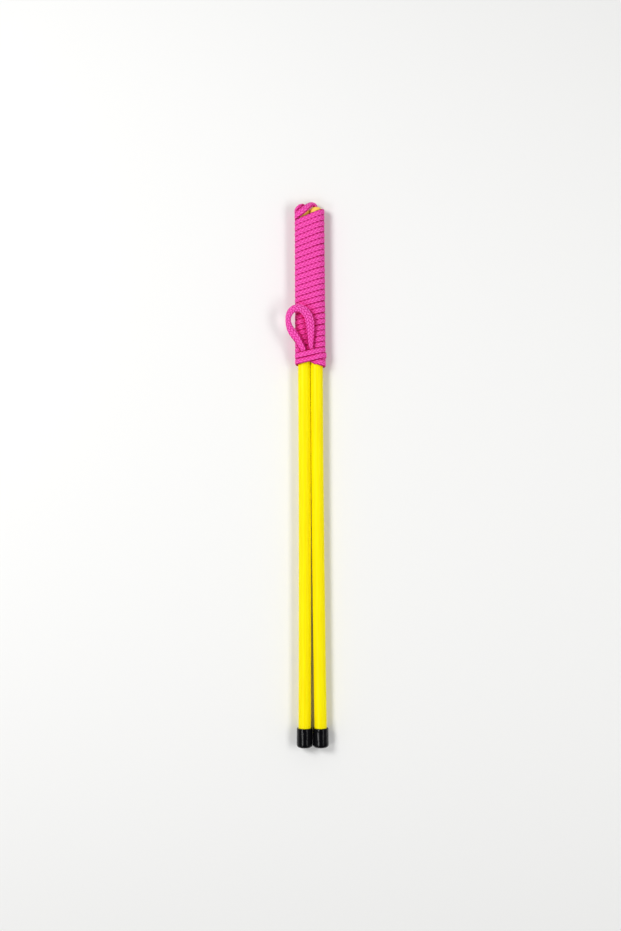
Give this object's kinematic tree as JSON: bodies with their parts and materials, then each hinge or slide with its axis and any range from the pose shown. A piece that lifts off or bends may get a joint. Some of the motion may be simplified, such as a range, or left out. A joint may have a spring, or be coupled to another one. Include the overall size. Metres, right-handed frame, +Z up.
{
  "type": "bubble wand",
  "caption": "Large bubble wand: two yellow dowel sticks with black end caps and a pink cotton rope, doubled and wound round both sticks, with a free loop.",
  "frame": {"origin": "on the surface that the wand lies on, under the middle of the box round the two sticks and their caps", "axes": "+X across the two sticks, +Y along them from the caps to the bare tips, +Z up, away from the surface"},
  "size_m": [0.0385, 0.5036, 0.0242],
  "materials": {
    "stick_lacquer": "bright yellow lacquer on a round wooden dowel",
    "cap_vinyl": "satin black dip-moulded vinyl",
    "rope_cotton": "soft braided cotton rope, bright pink"
  },
  "bodies": {
    "left_half": {"left_stick": "stick_lacquer", "left_end_cap": "cap_vinyl", "rope_left_strand": "rope_cotton", "rope_right_strand": "rope_cotton", "rope_loop": "rope_cotton"},
    "right_half": {"right_stick": "stick_lacquer", "right_end_cap": "cap_vinyl"}
  },
  "joints": [
    {"name": "stick_splay", "type": "hinge", "parent": "left_half", "child": "right_half", "pos_m": [0, 0.246, 0.00834], "axis": [0, -0.002, 1], "range_deg": [0, 1.5], "deforming": ["rope_left_strand", "rope_right_strand"]}
  ]
}
